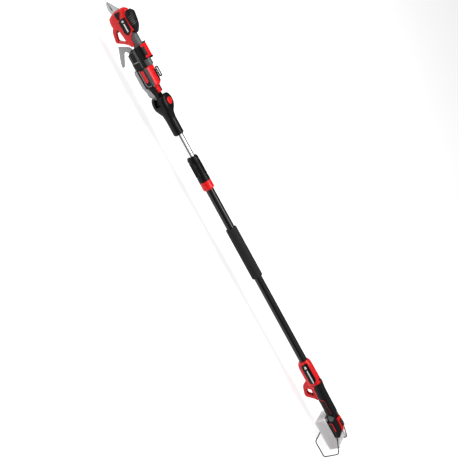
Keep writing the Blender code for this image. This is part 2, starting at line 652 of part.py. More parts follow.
def make_rear_shells():
    guard = rounded([(-642, -22), (-649, -34), (-660, -48.5), (-673, -55), (-692, -60.5), (-702, -63),
                     (-710, -60.5), (-719, -45), (-728, -30), (-738, -23.2), (-668, -23.2), (-660, -20)],
                    4, 3)
    hole = rounded([(-676.5, -45), (-692, -50.5), (-701, -50), (-713, -31), (-713, -26.8), (-686, -26.8)],
                   3, 3)
    red = [(x, oval(w, low, high, power)) for x, w, low, high, power in REAR_STATIONS]
    black = [(x, oval(w, low, high, power)) for x, w, low, high, power in GRIP_STATIONS]
    for side, word in ((1, "left"), (-1, "right")):
        shell = half_shell("rear_shell_" + word, red, side, "red", rear_open=True)
        combine(shell, guard_half("rear_guard_" + word, guard, hole, side, 15), "UNION")
        combine(shell, rod("tube_socket", (-590, 0, 0), OUTER_TUBE_R + GAP, 80, "X"))
        combine(shell, box("guard_slot", (-737, -5.4, -40), (-698, 5.4, -15)))
        combine(shell, rod("lock_off_well", (-658, 0, 30), LOCK_OFF_R + 0.4, 30, "Z", steps=20))
        grip = half_shell("grip_shell_" + word, black, side, "black", front_open=True, rear_open=True)
        combine(grip, box("rear_trigger_slot", (-737, -5.4, -40), (-700, 5.4, -12)))
        base = half_shell("base_shell_" + word, BASE_SECTIONS, side, "black", front_open=True)
        combine(base, rod("bail_socket_" + word, (-886, side * 34, -6), WIRE_R + GAP, 14, "Y", steps=16))


def make_base_cap():
    sections = []
    ends = [(-884, base_section(35, -15, 3.6)), (-823.5, base_section(37, -15, 13))]
    for (x, half), rise in zip([ends[0], *BASE_SECTIONS[1:3], ends[1]], (0.0, 1.5, 5.2, 5.2)):
        shoulder, ridge = Vector(half[4]), Vector(half[5])
        slope = (shoulder.y - ridge.y) / (shoulder.x - ridge.x)
        roof = [(CAP_W, shoulder.y + slope * (CAP_W - shoulder.x)), *half[5:]]
        under = [(y, z + 1.0) for y, z in roof]
        lift = 3.2 + rise
        over = [(CAP_W, roof[0][1] + 2.8), (PANEL_W + 0.8, roof[1][1] + lift), (0, roof[2][1] + lift)]
        ring = under + [(-y, z) for y, z in under[-2::-1]] + [(-y, z) for y, z in over[:-1]] + over[::-1]
        sections.append((x, ring))
    cap = loft("base_cap", sections, "red")
    combine(cap, box("panel_well", (-864, -PANEL_W - 0.4, 8), (-834, PANEL_W + 0.4, 40)))
    outline = [(-863.6, -PANEL_W), (-834.4, -PANEL_W), (-834.4, PANEL_W), (-863.6, PANEL_W)]
    outline = rounded(outline, 5, 4)
    panel = plate("power_panel", outline, PANEL_Z - 3.6, 7.2, "black", plane="XY", edge=0.6)
    combine(panel, rod("button_hole", (-842, 0, PANEL_Z), 3.6, 12, "Z", steps=20))
    combine(panel, box("lens_well", (-860, -3.2, PANEL_Z - 1.4), (-850, 3.2, PANEL_Z + 3)))
    place = (-842, 0, PANEL_Z - 0.9)
    rod("power_button", place, 3.3, 3.4, "Z", "dark_grey", 20, 0.5, origin=place)
    box("charge_lens", (-859.7, -2.9, PANEL_Z - 1.1), (-850.3, 2.9, PANEL_Z + 0.3), "pale", 0.3)


def make_rear_inside():
    x, z = REAR_TRIGGER_PIVOT
    line = rounded([(x - 4, z + 8), (x + 4, z + 8), (x + 12, z + 2), (x + 27, z - 3), (x + 29, z - 9),
                    (x + 25, z - 13), (x + 17, z - 10), (x + 8, z - 4), (x - 4, z - 4)], 2.5, 2)
    trigger("rear_trigger", line, REAR_TRIGGER_PIVOT, 9.8)
    rod("lock_off_button", (-658, 0, 22.2), LOCK_OFF_R, 9, "Z", "black", 20, 1.2, origin=(-658, 0, 22.2))
    box("rear_switch", (-716, -7, -9), (-694, 7, 6), "dark_grey", 0.8)
    box("control_board", (-788, -11, -1), (-728, 11, 1), "board")
    rows = [(-657, -7, 10), (-654, -9, 14.5), (-582, -9, 14.5), (-578, -7, 12)]
    side_panel("rear_badge", REAR_STATIONS, rows, 1, "black")


def make_battery():
    low_x, high_x = BATTERY_X
    floor, top = BATTERY_Z
    corner = (high_x, BATTERY_W, BATTERY_CHEEK_Z)
    case = box("battery_case", (low_x, -BATTERY_W, floor), corner, "pale", 6, 3)
    inner_w = BATTERY_W - BATTERY_WALL
    low, high = Vector((low_x, -inner_w, floor)), Vector((high_x, inner_w, top + 20))
    inset_wall = Vector((BATTERY_WALL, 0, BATTERY_WALL))
    combine(case, box("cell_well", low + inset_wall, high - Vector((BATTERY_WALL, 0, 0))))
    combine(case, box("rail_bay", (low_x - 9, -31.2, top - 0.5), (high_x + 9, 31.2, top + 30)))
    deck = box("battery_rail", (low_x + 22, -20, -27.5), (high_x - 8, 20, -18.2), "pale")
    combine(deck, box("rail_flange", (low_x + 21.9, -24, -22.8), (high_x - 7.9, 24, -18.1)), "UNION")
    lid = (low_x + 3.4, -BATTERY_W + 3.4, -29.4), (high_x - 3.4, BATTERY_W - 3.4, -26)
    combine(deck, box("rail_lid", *lid), "UNION")
    combine(deck, box("terminal_slot", (high_x - 34, -9, -24), (high_x, 9, -10)))
    combine(deck, box("release_well", (low_x - 1, -13.3, -40), (low_x + 15.3, 13.3, -20)))
    combine(case, box("release_gap", (low_x - 1, -13.3, -37), (low_x + 3.5, 13.3, -20)))
    box("battery_button", (low_x + 1, -13, -33.5), (low_x + 15, 13, -23.5), "dark_grey", 1.5)
    cells = box("cell_block", (low_x + 12, -31, floor + 9), (high_x - 12, 31, floor + 19), "cell")
    for col in range(CELL_COUNT):
        place = (low_x + 16.5 + 21.5 * col, 0, floor + 14.2)
        combine(cells, rod("cell_%d" % col, place, CELL_R, 68, "Y", steps=16), "UNION")
    shoe = box("battery_shoe", (-892, -30.5, -25.6), (-824, 30.5, -15.3), "black")
    combine(shoe, box("flange_channel", (-900, -24.4, -23.2), (-816, 24.4, -17.7)))
    combine(shoe, box("neck_channel", (-902, -20.4, -30), (-814, 20.4, -20)))


def make_bail():
    rear, floor, width = BAIL_REAR_X, BAIL_FLOOR_Z, BAIL_W
    left = [(-886, 28.5, -6), (-886, 39, -6), (rear, width, -27.5), (rear, width, floor),
            (-876, width, floor)]
    right = [(x, -y, z) for x, y, z in left[::-1]]
    wire("stand_bail", rounded(left + right, 9, 3, closed=False), WIRE_R, "wire")


make_pole()
make_lock()
make_fork()
make_tilt_lock()
make_carrier()
make_clamp()
make_latch()
make_hook()
make_pruner_shells()
make_motor_cover()
make_pruner_handle()
make_blades()
make_pruner_trigger()
make_rear_shells()
make_base_cap()
make_rear_inside()
make_battery()
make_bail()
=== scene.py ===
"""Looks of a cordless telescoping pole pruner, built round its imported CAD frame.

Everything is drawn in the pole's own frame in millimetres, with X towards the blades, Y to the tool's left
and Z to its top, and the pole's axis at Y = Z = 0. place() turns such a point into metres in the row frame.
"""
import json
import math

import bmesh
import bpy
from mathutils import Matrix, Vector
from mathutils.bvhtree import BVHTree


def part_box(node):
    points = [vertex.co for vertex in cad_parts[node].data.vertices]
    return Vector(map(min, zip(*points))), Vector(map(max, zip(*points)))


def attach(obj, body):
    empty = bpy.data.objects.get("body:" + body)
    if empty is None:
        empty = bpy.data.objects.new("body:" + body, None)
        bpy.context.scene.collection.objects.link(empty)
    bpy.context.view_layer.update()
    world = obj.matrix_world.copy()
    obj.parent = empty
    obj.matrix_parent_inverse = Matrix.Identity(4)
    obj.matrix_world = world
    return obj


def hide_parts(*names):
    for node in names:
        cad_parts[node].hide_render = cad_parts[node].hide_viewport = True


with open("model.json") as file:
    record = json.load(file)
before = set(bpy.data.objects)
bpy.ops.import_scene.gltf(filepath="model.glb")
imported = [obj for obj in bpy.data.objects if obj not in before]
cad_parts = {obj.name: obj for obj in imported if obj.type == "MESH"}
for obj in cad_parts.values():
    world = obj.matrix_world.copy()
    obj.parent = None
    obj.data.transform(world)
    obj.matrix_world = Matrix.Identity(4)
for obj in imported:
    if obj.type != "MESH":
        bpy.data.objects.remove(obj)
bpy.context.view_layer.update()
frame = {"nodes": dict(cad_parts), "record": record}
NODES = frame["nodes"]
BODY_OF = {node: body for body, names in frame["record"]["behaviour"]["bodies"].items() for node in names}
SLOT_OF = {item["node"]: item["material_slot"] for item in frame["record"]["subparts"]}

MM = 0.001
SHARP = 35                # corners sharper than this keep a hard edge, in degrees
FLAT = 0.5                # faces that differ by less than this are joined, in degrees
MERGE = 0.000001          # corners closer than this are joined, in metres
TUBE_LOW, TUBE_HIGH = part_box("outer_tube")
ORIGIN = Vector((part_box("foam_grip")[1].x, 0.0, (TUBE_LOW.z + TUBE_HIGH.z) / 2))


def place(x, y, z):
    return Vector((x, y, z)) * MM + ORIGIN


# ---------------------------------------------------------------- materials

class Shader:
    """A principled material with a few procedural layers; sizes are in millimetres."""

    def __init__(self, name, colour, roughness, metallic=0.0, **sockets):
        self.name = name
        self.mat = bpy.data.materials.new(name + "_look")
        self.mat.use_nodes = True
        self.tree = self.mat.node_tree
        self.main = self.tree.nodes["Principled BSDF"]
        self.main.inputs["Base Color"].default_value = (*colour, 1.0)
        self.main.inputs["Roughness"].default_value = roughness
        self.main.inputs["Metallic"].default_value = metallic
        for socket, value in sockets.items():
            self.main.inputs[socket.replace("_", " ")].default_value = value
        self.colour = colour
        self.coords = self.tree.nodes.new("ShaderNodeTexCoord").outputs["Object"]
        self.normal = None

    def node(self, kind, **settings):
        new = self.tree.nodes.new(kind)
        for key, value in settings.items():
            if hasattr(new, key):
                setattr(new, key, value)
            else:
                new.inputs[key].default_value = value
        return new

    def link(self, start, end):
        self.tree.links.new(start, end)

    def noise(self, size, detail=2.0, stretch=(1, 1, 1)):
        """Noise whose lumps are about size millimetres across, drawn out along an axis by stretch."""
        mapping = self.node("ShaderNodeMapping")
        mapping.inputs["Scale"].default_value = [1 / (size * MM * s) for s in stretch]
        texture = self.node("ShaderNodeTexNoise", Scale=1.0, Detail=detail)
        self.link(self.coords, mapping.inputs["Vector"])
        self.link(mapping.outputs["Vector"], texture.inputs["Vector"])
        return texture.outputs["Fac"]

    def cells(self, size):
        """Distance to the nearest of scattered points about size millimetres apart."""
        mapping = self.node("ShaderNodeMapping")
        mapping.inputs["Scale"].default_value = [1 / (size * MM)] * 3
        texture = self.node("ShaderNodeTexVoronoi", Scale=1.0)
        self.link(self.coords, mapping.inputs["Vector"])
        self.link(mapping.outputs["Vector"], texture.inputs["Vector"])
        return texture.outputs["Distance"]

    def spread(self, value, low, high, start=0.3, end=0.7):
        """The value from start to end, spread over low to high."""
        ramp = self.node("ShaderNodeMapRange")
        for key, number in (("From Min", start), ("From Max", end), ("To Min", low), ("To Max", high)):
            ramp.inputs[key].default_value = number
        self.link(value, ramp.inputs["Value"])
        return ramp.outputs["Result"]

    def tint(self, value, dark, light, start=0.3, end=0.7):
        """Colour from dark to light times the base colour, as value goes from start to end."""
        mix = self.node("ShaderNodeMix", data_type="RGBA")
        mix.inputs[6].default_value = (*[c * dark for c in self.colour], 1.0)
        mix.inputs[7].default_value = (*[min(c * light, 1.0) for c in self.colour], 1.0)
        self.link(self.spread(value, 0.0, 1.0, start, end), mix.inputs[0])
        self.link(mix.outputs[2], self.main.inputs["Base Color"])
        return self

    def rough(self, value, low, high, start=0.3, end=0.7):
        self.link(self.spread(value, low, high, start, end), self.main.inputs["Roughness"])
        return self

    def bump(self, value, depth, strength=0.6):
        node = self.node("ShaderNodeBump", Strength=strength, Distance=depth * MM)
        self.link(value, node.inputs["Height"])
        if self.normal is not None:
            self.link(self.normal, node.inputs["Normal"])
        self.normal = node.outputs["Normal"]
        self.link(self.normal, self.main.inputs["Normal"])
        return self


def make_materials():
    """One material for each slot of the record, by the slot's name."""
    red = Shader("red_plastic", (0.66, 0.004, 0.006), 0.3, Specular_IOR_Level=0.3)
    red.tint(red.noise(40), 0.94, 1.06).rough(red.noise(9, 4), 0.24, 0.34)
    red.bump(red.noise(0.5), 0.02, 0.3)
    black = Shader("black_plastic", (0.003, 0.003, 0.0035), 0.3, Specular_IOR_Level=0.16)
    black.tint(black.noise(25), 0.8, 1.3).rough(black.noise(6, 4), 0.25, 0.36)
    black.bump(black.cells(0.55), 0.03, 0.4)
    soft = Shader("soft_black", (0.004, 0.004, 0.0045), 0.46, Specular_IOR_Level=0.18)
    soft.tint(soft.noise(18), 0.8, 1.3).rough(soft.noise(5, 4), 0.42, 0.58)
    soft.bump(soft.cells(0.8), 0.09, 0.5)
    tube = Shader("black_tube", (0.002, 0.002, 0.0025), 0.16, Specular_IOR_Level=0.35)
    tube.rough(tube.noise(14, 5, (6, 1, 1)), 0.12, 0.22).bump(tube.noise(1.6), 0.006, 0.25)
    silver = Shader("silver_tube", (0.74, 0.74, 0.76), 0.16, 1.0)
    silver.tint(silver.noise(0.35, 3, (160, 1, 1)), 0.88, 1.04)
    silver.rough(silver.noise(0.5, 4, (120, 1, 1)), 0.12, 0.22)
    silver.bump(silver.noise(0.3, 2, (200, 1, 1)), 0.004, 0.3)
    foam = Shader("foam", (0.010, 0.010, 0.011), 0.75, Specular_IOR_Level=0.25)
    foam.tint(foam.noise(3, 4), 0.7, 1.4)
    foam.bump(foam.cells(0.9), 0.16, 0.8).bump(foam.noise(2.4, 4), 0.12, 0.5)
    light = Shader("light_grey_plastic", (0.33, 0.33, 0.34), 0.45)
    light.tint(light.noise(22), 0.93, 1.05).rough(light.noise(6, 4), 0.38, 0.52)
    light.bump(light.cells(0.6), 0.04, 0.4)
    dark = Shader("dark_grey_plastic", (0.075, 0.076, 0.078), 0.4, Specular_IOR_Level=0.3)
    dark.tint(dark.noise(18), 0.88, 1.15).rough(dark.noise(6, 4), 0.34, 0.48)
    dark.bump(dark.cells(0.6), 0.05, 0.5)
    steel = Shader("blade_steel", (0.40, 0.41, 0.42), 0.3, 1.0)
    steel.tint(steel.noise(0.4, 3, (1, 1, 60)), 0.75, 1.08)
    steel.rough(steel.noise(3, 4, (1, 1, 8)), 0.24, 0.4)
    steel.bump(steel.noise(0.3, 2, (1, 1, 60)), 0.006, 0.35)
    wire = Shader("wire_steel", (0.02, 0.02, 0.021), 0.34, 0.2, Specular_IOR_Level=0.3)
    wire.tint(wire.noise(12), 0.85, 1.15).rough(wire.noise(4, 4), 0.3, 0.46)
    wire.bump(wire.noise(0.8), 0.01, 0.3)
    pale = Shader("pale_plastic", (0.70, 0.70, 0.71), 0.4)
    pale.tint(pale.noise(10), 0.95, 1.04).bump(pale.noise(0.5), 0.02, 0.3)
    battery = Shader("battery_plastic", (0.86, 0.84, 0.85), 0.35, Transmission_Weight=0.45, IOR=1.15)
    battery.tint(battery.noise(30), 0.95, 1.04).rough(battery.noise(5, 3), 0.28, 0.42)
    battery.bump(battery.noise(0.6), 0.02, 0.3)
    board = Shader("board", (0.02, 0.16, 0.06), 0.4)
    board.tint(board.cells(2.5), 0.7, 1.2, 0.2, 0.6).bump(board.cells(2.5), 0.05, 0.4)
    cell = Shader("cell", (0.78, 0.77, 0.78), 0.35)
    cell.tint(cell.noise(15), 0.93, 1.05).bump(cell.noise(0.6), 0.02, 0.3)
    shaders = (red, black, soft, tube, silver, foam, light, dark, steel, wire, pale, battery, board, cell)
    return {shader.name: shader.mat for shader in shaders}


MATERIALS = make_materials()


# ---------------------------------------------------------------- pieces

def add(name, mesh, body, slot, replaced=()):
    """Put a mesh drawn in row metres on a body, with the material of a slot."""
    obj = bpy.data.objects.new(name, mesh)
    bpy.context.scene.collection.objects.link(obj)
    mesh.materials.clear()
    mesh.materials.append(MATERIALS[slot])
    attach(obj, body)
    if replaced:
        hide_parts(*replaced)
    return obj


def mesh_from(name, bm, smooth=True, sharp=SHARP):
    """The bmesh as a mesh; a smooth one keeps its edges from the angle sharp on, or none with sharp None."""
    mesh = bpy.data.meshes.new(name)
    bm.to_mesh(mesh)
    bm.free()
    if smooth:
        mesh.shade_smooth()
    if smooth and sharp:
        mesh.set_sharp_from_angle(angle=math.radians(sharp))
    return mesh


def round_edges(obj, width, segments=2, angle=30):
    mod = obj.modifiers.new("edges", "BEVEL")
    mod.width = width * MM
    mod.segments = segments
    mod.limit_method = "ANGLE"
    mod.angle_limit = math.radians(angle)
    return obj


def refine(node, width=0.4, sharp=32):
    """A CAD node's own shape with joined flat faces, rounded edges and smooth curved sides."""
    bm = bmesh.new()
    bm.from_mesh(NODES[node].data)
    bmesh.ops.remove_doubles(bm, verts=bm.verts, dist=MERGE)
    bmesh.ops.dissolve_limit(bm, angle_limit=math.radians(FLAT), verts=bm.verts, edges=bm.edges)
    mesh = mesh_from(node + "_shape", bm, sharp=sharp)
    return round_edges(add(node + "_shape", mesh, BODY_OF[node], SLOT_OF[node], (node,)), width)


RIBBED_R = 18             # only skin farther out than this is ribbed


def turned(name, body, slot, profile, steps=96, ribs=None, replaced=()):
    """A ring round the pole's axis through the (x, radius) points of a closed profile.

    ribs is (first x, last x, depth, count): between those two the skin is sunk between that many ribs.
    """
    bm = bmesh.new()
    rings = []
    for i in range(steps):
        angle = math.tau * i / steps
        ring = []
        for x, r in profile:
            if ribs and ribs[0] <= x <= ribs[1] and r > RIBBED_R and (i * ribs[3] * 2 // steps) % 2:
                r -= ribs[2]
            ring.append(bm.verts.new(place(x, r * math.cos(angle), r * math.sin(angle))))
        rings.append(ring)
    for i in range(steps):
        here, there = rings[i], rings[(i + 1) % steps]
        for k in range(len(profile)):
            m = (k + 1) % len(profile)
            bm.faces.new((here[k], here[m], there[m], there[k]))
    bmesh.ops.recalc_face_normals(bm, faces=bm.faces)
    return add(name, mesh_from(name, bm), body, slot, replaced)


def bar(name, body, slot, low, high, edge=0.5):
    """A block with rounded edges between two corners."""
    bm = bmesh.new()
    bmesh.ops.create_cube(bm, size=1.0)
    low, high = Vector(low), Vector(high)
    for vert in bm.verts:
        vert.co = place(*[low[i] + (high[i] - low[i]) * (vert.co[i] + 0.5) for i in range(3)])
    return round_edges(add(name, mesh_from(name, bm), body, slot), edge, 3)


# A view is (the second drawing axis, the way in); the first drawing axis is always X
SLANT = math.radians(33.7)    # how far the slanted view looks down
VIEWS = {
    "left": (Vector((0, 0, 1)), Vector((0, -1, 0))),
    "right": (Vector((0, 0, 1)), Vector((0, 1, 0))),
    "top": (Vector((0, 1, 0)), Vector((0, 0, -1))),
    "slant": (Vector((0, -math.sin(SLANT), math.cos(SLANT))),
              Vector((0, -math.cos(SLANT), -math.sin(SLANT)))),
}
REACH = 0.25              # distance in metres from which outlines are cast onto a surface
SPLITS = 7                # most times that a plate's long edges are halved


def cast_from(x, w, view):
    """The point of a view's drawing, set back far enough to look at the surface, in metres."""
    across, inward = VIEWS[view]
    return place(x, *(across * w)[1:]) - inward * REACH


def tree_of(nodes):
    """The surfaces of nodes, for casting outlines onto them."""
    verts, faces = [], []
    for node in nodes:
        mesh = NODES[node].data
        start = len(verts)
        verts += [v.co.copy() for v in mesh.vertices]
        faces += [[start + k for k in face.vertices] for face in mesh.polygons]
    return BVHTree.FromPolygons(verts, faces)


def skin(name, slot, nodes, points, view="left", lift=0.3, depth=0.8, step=2.0, replaced=()):
    """A thin plate lying on nodes, whose outline is drawn in a view."""
    inward = VIEWS[view][1]
    tree = tree_of(nodes)
    bm = bmesh.new()
    bm.faces.new([bm.verts.new(cast_from(x, w, view)) for x, w in points])
    bmesh.ops.triangulate(bm, faces=bm.faces)
    for _ in range(SPLITS):
        long_edges = [edge for edge in bm.edges if edge.calc_length() > step * MM]
        if not long_edges:
            break
        bmesh.ops.subdivide_edges(bm, edges=long_edges, cuts=1)
        bmesh.ops.triangulate(bm, faces=bm.faces)
    for vert in bm.verts:
        spot = tree.ray_cast(vert.co, inward)[0]
        if spot is None:
            spot = tree.find_nearest(vert.co + inward * REACH)[0]
            spot = vert.co + inward * (spot - vert.co).dot(inward)
        vert.co = spot - inward * lift * MM
    bm.normal_update()
    if sum(face.normal.dot(inward) * face.calc_area() for face in bm.faces) > 0:
        bmesh.ops.reverse_faces(bm, faces=bm.faces)
    obj = add(name, mesh_from(name, bm, sharp=None), BODY_OF[nodes[0]], slot, replaced)
    mod = obj.modifiers.new("wall", "SOLIDIFY")
    mod.thickness = depth * MM
    mod.offset = -1
    return obj


def bead(name, slot, nodes, path, width, view="left", lift=0.5, depth=1.0):
    """A raised line of a given width along a path drawn in a view."""
    path = [Vector(point) for point in path]
    sides = ([], [])
    for i, point in enumerate(path):
        along = (path[min(i + 1, len(path) - 1)] - path[max(i - 1, 0)]).normalized()
        off = Vector((-along.y, along.x)) * width / 2
        sides[0].append(tuple(point + off))
        sides[1].append(tuple(point - off))
    return skin(name, slot, nodes, sides[0] + sides[1][::-1], view, lift, depth)


def soften(points, radius, steps=3):
    """The outline with its corners rounded."""
    out = []
    for i, point in enumerate(points):
        point = Vector(point)
        back, ahead = Vector(points[i - 1]) - point, Vector(points[(i + 1) % len(points)]) - point
        reach = min(radius, back.length / 2.2, ahead.length / 2.2)
        start, end = point + back.normalized() * reach, point + ahead.normalized() * reach
        for k in range(steps + 1):
            t = k / steps
            out.append(tuple(start * (1 - t) ** 2 + point * 2 * t * (1 - t) + end * t * t))
    return out


def screw(name, node, x, z, radius=2.6):
    """A screw head sunk in a shell's right side, with a black hexagon on it: painted shade standing in for
    its hex recess.
    """
    spot, normal = tree_of([node]).ray_cast(cast_from(x, z, "right"), VIEWS["right"][1])[:2]
    turn = normal.to_track_quat("Z", "Y").to_matrix().to_4x4()
    parts = (("head", "dark_grey_plastic", radius, -0.6, 0.45, 28),
             # The black hexagon on the head is painted shade in place of a hex recess.
             ("socket", "black_plastic", radius * 0.5, -0.3, 0.52, 6))
    for part, slot, r, low, high, sides in parts:
        bm = bmesh.new()
        bmesh.ops.create_cone(bm, cap_ends=True, segments=sides, radius1=r * MM, radius2=r * 0.93 * MM,
                              depth=(high - low) * MM)
        shift = Matrix.Translation(spot) @ turn @ Matrix.Translation((0, 0, (low + high) / 2 * MM))
        bmesh.ops.transform(bm, matrix=shift, verts=bm.verts)
        add(f"{name}_{part}", mesh_from(f"{name}_{part}", bm), BODY_OF[node], slot)


def oblong(x_low, x_high, w_low, w_high, radius=1.5):
    """A rectangle with rounded corners, as a view's outline."""
    return soften([(x_high, w_low), (x_high, w_high), (x_low, w_high), (x_low, w_low)], radius)


def rib(name, slot, nodes, x_low, x_high, w, half=0.7, lift=0.8, depth=1.4):
    """A straight raised rib along the pole, seen from the left."""
    outline = [(x_high, w - half), (x_high, w + half), (x_low, w + half), (x_low, w - half)]
    skin(name, slot, nodes, outline, "left", lift, depth)


# ---------------------------------------------------------------- pole

def make_pole():
    turned("foam_sleeve", "rear_unit", "foam",
           [(0, 15.4), (0, 17.5), (-0.6, 19.2), (-2.2, 20.1), (-6, 20.25), (-198, 20.25), (-201.6, 20.1),
            (-203.1, 19.2), (-203.6, 17.5), (-203.6, 15.4)], replaced=("foam_grip",))
    turned("nut_shape", "lock_nut", "black_plastic",
           [(289.8, 12.9), (290, 15.5), (287.5, 18.2), (283.5, 20.0), (279, 20.9), (273.8, 21),
            (272.8, 19.6), (270.6, 19.6), (269.6, 21), (266, 21), (265.6, 20.9), (217.4, 20.9),
            (217, 21), (213.4, 21), (212.4, 19.6), (210.4, 19.6), (209.4, 21), (193, 21), (192.2, 20.2),
            (192.2, 17.3), (228, 17.3), (231, 12.9)], 192, (217.2, 265.8, 0.7, 48), ("lock_nut",))
    turned("collar_shape", "rear_unit", "red_plastic",
           [(191.6, 17.4), (191.6, 20.6), (190.8, 21), (188, 21), (187.6, 20.9), (168, 21.2), (167.6, 21.3),
            (165.5, 21.3), (163, 21), (161, 20), (159.4, 18), (159, 15.6), (176.5, 15.6), (176.8, 17.4)],
           192, (168.2, 187.4, 0.5, 24), ("lock_collar",))


# ---------------------------------------------------------------- pruner and clamp

def make_pruner_details():
    badge = ["pruner_badge"]
    skin("head_mark_square", "pale_plastic", badge, oblong(793.4, 800, 10.7, 17), "slant", 0.35)
    skin("head_mark_bar", "pale_plastic", badge, oblong(759, 788.7, 11.9, 16), "slant", 0.35)
    for side in ("left", "right"):
        for i in range(5):
            x = 772 + i * 6.6
            line = soften([(x, 58.5), (x + 2.6, 58.5), (x + 5.6, 68), (x + 3, 68)], 1)
            skin(f"vent_{side}_{i}", "dark_grey_plastic", ["motor_cover"], line, side, 0.45)
    places = ((728, 12), (792, -12), (826, 6), (812, 46), (766, 30), (742, -38.5))
    for i, (x, z) in enumerate(places):
        screw(f"head_screw_{i}", "pruner_shell_right", x, z)
    bead("head_seam_bead", "red_plastic", ["pruner_shell_left"],
         [(786, -12.5), (775, 0.5), (752, 2.5), (735, 4), (722, 10)], 1.6, "left", 0.5)
    # A dark grey patch on the cutting blade by the crotch between the blades: painted shade, not a ground
    # bevel.
    skin("blade_bevel", "dark_grey_plastic", ["cutting_blade"],
         [(866, 3.4), (853, 1.6), (844, 2.2), (839, 5.5), (847, 7.0), (858, 5.2)], "left", 0.12, 0.5)


def make_clamp_details():
    saddle, cap = ["clamp_saddle"], ["clamp_cap"]
    recess = [(692.5, -8), (692.5, 9.6), (658, 9.6), (658, -8)]
    rim = [(694.5, -10.5), (694.5, 12), (655.5, 12), (655.5, -10.5)]
    # The rims are dark grey and the rear one light grey, lighter than the black saddle: a painted highlight
    # along the edges of the recess.
    for i in range(4):
        k = (i + 1) % 4
        slot = "light_grey_plastic" if i == 2 else "dark_grey_plastic"
        skin(f"recess_rim_{i}", slot, saddle, [rim[i], rim[k], recess[k], recess[i]], "left", 0.9, 1.4)
    rib("saddle_ridge", "dark_grey_plastic", saddle, 632, 701, 15.25, 2.25, 0.9)
    edge = [(686, -15), (690, -11.8), (632, -11.8), (632, -15)]
    skin("saddle_edge", "dark_grey_plastic", saddle, edge, "left", 0.8, 1.4)
    for i, z in enumerate((20.5, 24.2)):
        rib(f"saddle_rib_{i}", "black_plastic", saddle, 632, 700, z)
    for i, z in enumerate((29.5, 33.0, 36.5)):
        rib(f"cap_rib_{i}", "black_plastic", cap, 655, 701, z)


def make_latch_details():
    bar("latch_lip", "latch", "soft_black", (665.2, 7.6, 45.6), (695.8, 22.9, 50.0), 0.5)
    bar("latch_band", "latch", "red_plastic", (661.3, -4.6, 47.6), (699.8, 7.4, 49.6), 0.4)
    bar("latch_end_rear", "latch", "red_plastic", (661.3, 7.0, 47.6), (665.0, 19.6, 49.6), 0.4)
    bar("latch_end_front", "latch", "red_plastic", (696.0, 7.0, 47.6), (699.8, 19.6, 49.6), 0.4)
    for i in range(9):
        x = 667 + i * 3.3
        bar(f"latch_rib_{i}", "latch", "dark_grey_plastic", (x, 8.6, 49.4), (x + 1.4, 21.4, 50.7), 0.5)


def make_clamp_screws():
    for i, x in enumerate((660.5, 695.5)):
        screw(f"clamp_screw_{i}", "clamp_saddle", x, 20, 2.8)


def make_foot_details():
    adapter, foot = ["battery_adapter"], ["pruner_foot"]
    outline = [(628.5, -2.4), (578, -2.6), (571, -0.5), (567.6, 5), (567.6, 13), (569.5, 16.6)]
    bead("adapter_outline", "light_grey_plastic", adapter, outline, 1.7, "left", 0.5)
    bead("adapter_line_top", "dark_grey_plastic", adapter, [(567.5, 16.6), (628.5, 16.6)], 1.5, "left", 0.5)
    side = soften([(629, 19.2), (629, 31), (577, 31), (565.5, 27.5), (562, 19.2)], 2)
    skin("foot_side", "dark_grey_plastic", foot, side, "left", 0.5)
    # A black line along the top and a black sheet over the far side of the red foot: painted shade where the
    # foot turns away from the light.
    bead("foot_groove", "black_plastic", foot, [(617, 9.5), (576, 9.5)], 1.3, "top", 0.2)
    far = [(613, -21), (613, 0), (606, 2), (573, 2), (566, -2), (572, -21)]
    skin("foot_far_side", "black_plastic", foot, far, "top", 0.4)
    for i, x in enumerate((572, 620)):
        screw(f"adapter_screw_{i}", "battery_adapter", x, 4, 2.2)
    bar("cover_wall_right", "head", "black_plastic", (535, -14.6, 7.6), (560.5, -6.6, 18.7), 1.2)
    bar("cover_wall_left", "head", "black_plastic", (536, 10.8, 7.6), (560.5, 13.8, 11.5), 1.2)


def make_tongue_nose():
    """The tray's side, drawn out to a point along the tongue; rows are (x, z, y of the outer side)."""
    inner_y, outer_y = 14.4, 18.2
    rows = [(514.5, -4.8, 15), (520.5, -9.0, 16.8), (528, -9.2, outer_y), (528.8, -17, outer_y),
            (535.5, -23.6, outer_y), (556, -23.6, outer_y), (568, -12, outer_y), (545, -7, outer_y),
            (530, -3.5, outer_y), (520.5, -2.8, 16.8)]
    bm = bmesh.new()
    inner = [bm.verts.new(place(x, inner_y, z)) for x, z, y in rows]
    outer = [bm.verts.new(place(x, y, z)) for x, z, y in rows]
    bm.faces.new(inner)
    for i in range(1, len(rows) - 1):
        bm.faces.new((outer[0], outer[i + 1], outer[i]))
    for i in range(len(rows)):
        k = (i + 1) % len(rows)
        bm.faces.new((inner[k], inner[i], outer[i], outer[k]))
    bmesh.ops.recalc_face_normals(bm, faces=bm.faces)
    mesh = mesh_from("tongue_nose", bm, smooth=False)
    round_edges(add("tongue_nose", mesh, "head", "light_grey_plastic"), 0.8, 3)


# ---------------------------------------------------------------- rear handle

def make_rear_badge():
    shell = ["rear_shell_left"]
    panel = soften([(-577, -19), (-571.5, 6), (-646, 6.6), (-654, 1), (-657.5, -14), (-653, -19.6)], 5, 4)
    skin("rear_badge_face", "black_plastic", shell, panel, "slant", 1.9, 1.5, 2.0, ("rear_badge",))
    square = [(-582.5, -10.5), (-581.5, -4), (-592.5, -4), (-593.5, -10.5)]
    stripe = [(-600, -9.2), (-599.5, -5), (-654, -5), (-654.5, -9.2)]
    for name, line in (("rear_mark_square", square), ("rear_mark_bar", stripe)):
        skin(name, "pale_plastic", shell, soften(line, 1.5), "slant", 2.5, 1.0)


